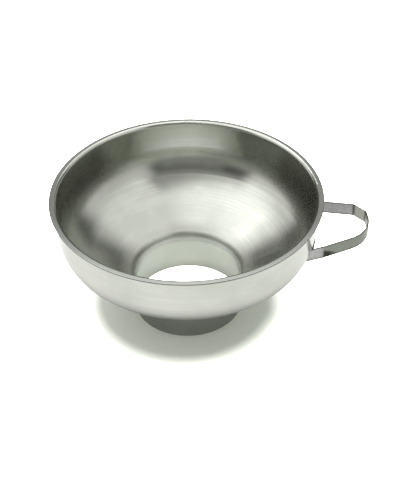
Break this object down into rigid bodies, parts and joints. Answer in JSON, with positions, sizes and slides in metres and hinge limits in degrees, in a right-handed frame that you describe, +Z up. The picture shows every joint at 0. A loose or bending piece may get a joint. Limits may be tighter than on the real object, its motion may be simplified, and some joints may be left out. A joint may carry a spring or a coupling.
{
  "type": "canning funnel",
  "caption": "Steel canning funnel: a broad round bowl with a flat out-turned rim, a short straight neck that drops into a jar's mouth, and a strip-metal loop handle at the side.",
  "frame": {"origin": "centre of the neck's lower end, on the funnel's axis, in the plane the funnel stands on", "axes": "+Z up the funnel's axis towards the rim; +X towards the handle; -Y towards the front"},
  "size_m": [0.1572, 0.133, 0.0682],
  "materials": {
    "bowl_steel": "satin, spun and polished inside",
    "neck_steel": "satin",
    "strap_steel": "bright, grained along the strip",
    "weld_steel": "ground weld metal"
  },
  "bodies": {
    "root": {"funnel_bowl": "bowl_steel", "neck_collar": "neck_steel", "neck_weld_seam": "weld_steel", "handle_strap": "strap_steel", "front_spot_welds": "weld_steel", "rear_spot_welds": "weld_steel"}
  },
  "joints": []
}
